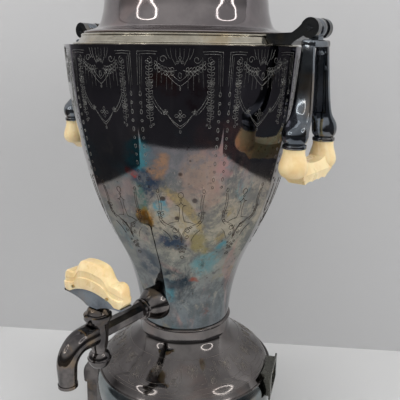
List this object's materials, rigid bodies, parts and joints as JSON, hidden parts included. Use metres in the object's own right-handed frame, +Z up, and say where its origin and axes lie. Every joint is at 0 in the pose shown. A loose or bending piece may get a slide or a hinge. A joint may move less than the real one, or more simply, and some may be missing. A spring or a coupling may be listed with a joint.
{
  "type": "electric coffee urn",
  "caption": "Footed electric coffee urn: panelled tapering body, bell lid with glass knob, lever tap, swinging side handles, percolator pump and heated base.",
  "frame": {"origin": "on the urn's axis, in the plane that the feet stand on", "axes": "+Z up the urn's axis, -Y toward the tap's spout, +X toward the right handle"},
  "size_m": [0.2138, 0.2109, 0.3986],
  "materials": {
    "plated_body": "tarnished bright plate",
    "plated_lid": "tarnished bright plate",
    "plated_base": "tarnished bright plate",
    "collar_brass": "worn plate over brass",
    "plated_trim": "bright plate",
    "plated_cast": "tarnished cast, plated",
    "dark_cast": "dark tarnished casting",
    "cream_resin": "polished cast resin",
    "clear_glass": "clear",
    "steel_plate": "plain sheet",
    "steel_fastener": "plain",
    "tinned_brass": "tinned",
    "black_rubber": "matte",
    "mica_band": "mica, wound",
    "bare_brass": "bare",
    "lead_sleeve": "woven sleeve",
    "inlet_metal": "dark enamel",
    "porcelain": "glazed insulator",
    "bare_aluminium": "satin"
  },
  "bodies": {
    "urn": {"body_shell": "plated_body", "collar_ring": "collar_brass", "base_dome": "plated_base", "base_skirt": "plated_base", "base_plate": "steel_plate", "base_nut": "steel_fastener", "heater_well": "tinned_brass", "heater_gasket": "black_rubber", "heater_clamp_nut": "tinned_brass", "heating_element": "mica_band", "heater_can": "steel_plate", "heater_terminals": "bare_brass", "heater_leads": "lead_sleeve", "inlet_housing": "inlet_metal", "inlet_block": "porcelain", "inlet_pins": "bare_brass", "foot_left": "plated_cast", "foot_right": "plated_cast", "foot_rear": "plated_cast", "foot_rivets": "steel_fastener", "tap_boss": "plated_cast", "tap_body": "plated_cast", "bracket_right": "plated_cast", "bracket_left": "plated_cast", "hinge_pin_right": "steel_fastener", "hinge_pin_left": "steel_fastener"},
    "tap_key": {"tap_plug": "plated_cast", "tap_washer": "plated_cast", "tap_ball_nut": "plated_cast", "lever_carrier": "dark_cast", "lever_grip": "cream_resin", "lever_pins": "bare_brass"},
    "handle_right": {"yoke_right": "dark_cast", "grip_right": "cream_resin", "grip_studs_right": "steel_fastener"},
    "handle_left": {"yoke_left": "dark_cast", "grip_left": "cream_resin", "grip_studs_left": "steel_fastener"},
    "lid": {"lid_shell": "plated_lid", "lid_spigot": "plated_lid", "knob_ring": "plated_trim", "glass_knob": "clear_glass"},
    "pump": {"pump_stem": "bare_aluminium", "pump_foot": "bare_aluminium", "coffee_basket": "bare_aluminium", "spreader_plate": "bare_aluminium"}
  },
  "joints": [
    {"name": "tap_turn", "type": "hinge", "parent": "urn", "child": "tap_key", "pos_m": [0, -0.0913, 0.129], "axis": [0, 0, 1], "range_deg": [-90, 0]},
    {"name": "handle_right_swing", "type": "hinge", "parent": "urn", "child": "handle_right", "pos_m": [0.098, 0, 0.3218], "axis": [0, -1, 0], "range_deg": [-8, 165]},
    {"name": "handle_left_swing", "type": "hinge", "parent": "urn", "child": "handle_left", "pos_m": [-0.098, 0, 0.3218], "axis": [0, 1, 0], "range_deg": [-8, 165]},
    {"name": "lid_lift", "type": "slide", "parent": "urn", "child": "lid", "axis": [0, 0, 1], "range_m": [0, 0.3]},
    {"name": "pump_lift", "type": "slide", "parent": "urn", "child": "pump", "axis": [0, 0, 1], "range_m": [0, 0.18]}
  ],
  "couplings": [
    {"joint": "pump_lift", "follows": "lid_lift", "ratio": 0.6}
  ]
}
